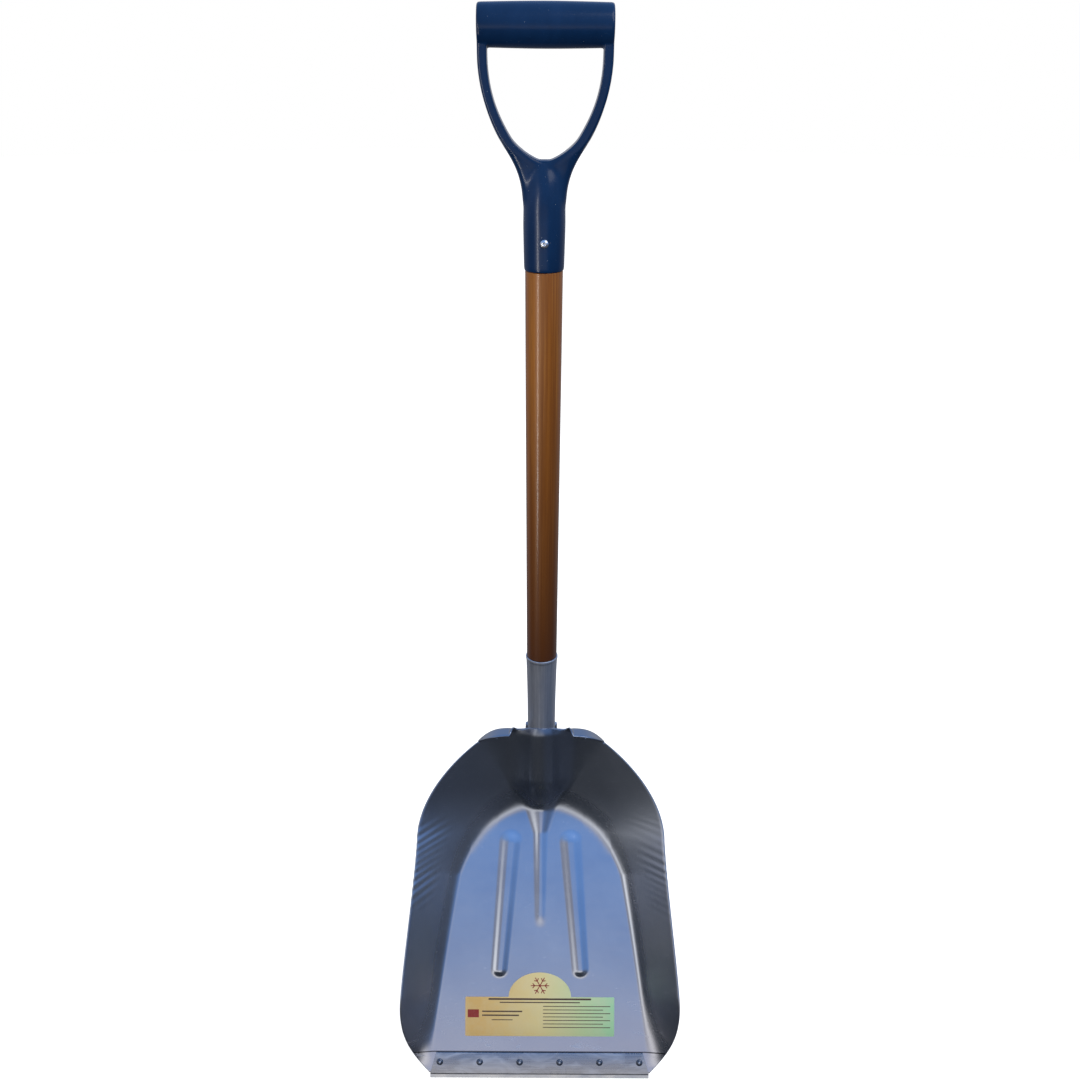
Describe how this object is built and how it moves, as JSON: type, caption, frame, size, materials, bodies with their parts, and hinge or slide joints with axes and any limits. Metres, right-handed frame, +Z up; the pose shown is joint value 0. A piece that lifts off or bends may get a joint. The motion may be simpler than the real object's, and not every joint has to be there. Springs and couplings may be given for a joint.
{
  "type": "snow scoop shovel",
  "caption": "Aluminium scoop shovel for snow with a D-grip, a wooden shaft, a tapered socket and a riveted steel wear strip along its edge.",
  "frame": {"origin": "middle of the wear strip's flat end face, the edge that meets the ground, on the plane of symmetry", "axes": "+Z up along the shaft towards the grip, +X across the blade, hollow side of the blade facing -Y"},
  "size_m": [0.3396, 0.1542, 1.2162],
  "materials": {
    "blade_aluminium": "bright mill finish with fine scuffs",
    "socket_aluminium": "matte, as formed",
    "screw_steel": "zinc plated",
    "ash_wood": "clear lacquer over straight grain",
    "navy_plastic": "moulded, satin to glossy",
    "rivet_steel": "zinc plated",
    "stainless_steel": "fine mill finish",
    "label_film": "printed gloss sticker, plain bands only",
    "rivet_aluminium": "formed blind rivet",
    "mandrel_steel": "broken mandrel stub"
  },
  "bodies": {
    "root": {"blade": "blade_aluminium", "socket": "socket_aluminium", "socket_screw": "screw_steel", "shaft": "ash_wood", "d_grip": "navy_plastic", "grip_rivet": "rivet_steel", "wear_strip": "stainless_steel", "label": "label_film", "strip_rivet_1": "rivet_aluminium", "strip_rivet_2": "rivet_aluminium", "strip_rivet_3": "rivet_aluminium", "strip_rivet_4": "rivet_aluminium", "strip_rivet_5": "rivet_aluminium", "strip_rivet_6": "rivet_aluminium", "rivet_mandrel_1": "mandrel_steel", "rivet_mandrel_2": "mandrel_steel", "rivet_mandrel_3": "mandrel_steel", "rivet_mandrel_4": "mandrel_steel", "rivet_mandrel_5": "mandrel_steel", "rivet_mandrel_6": "mandrel_steel"}
  },
  "joints": []
}
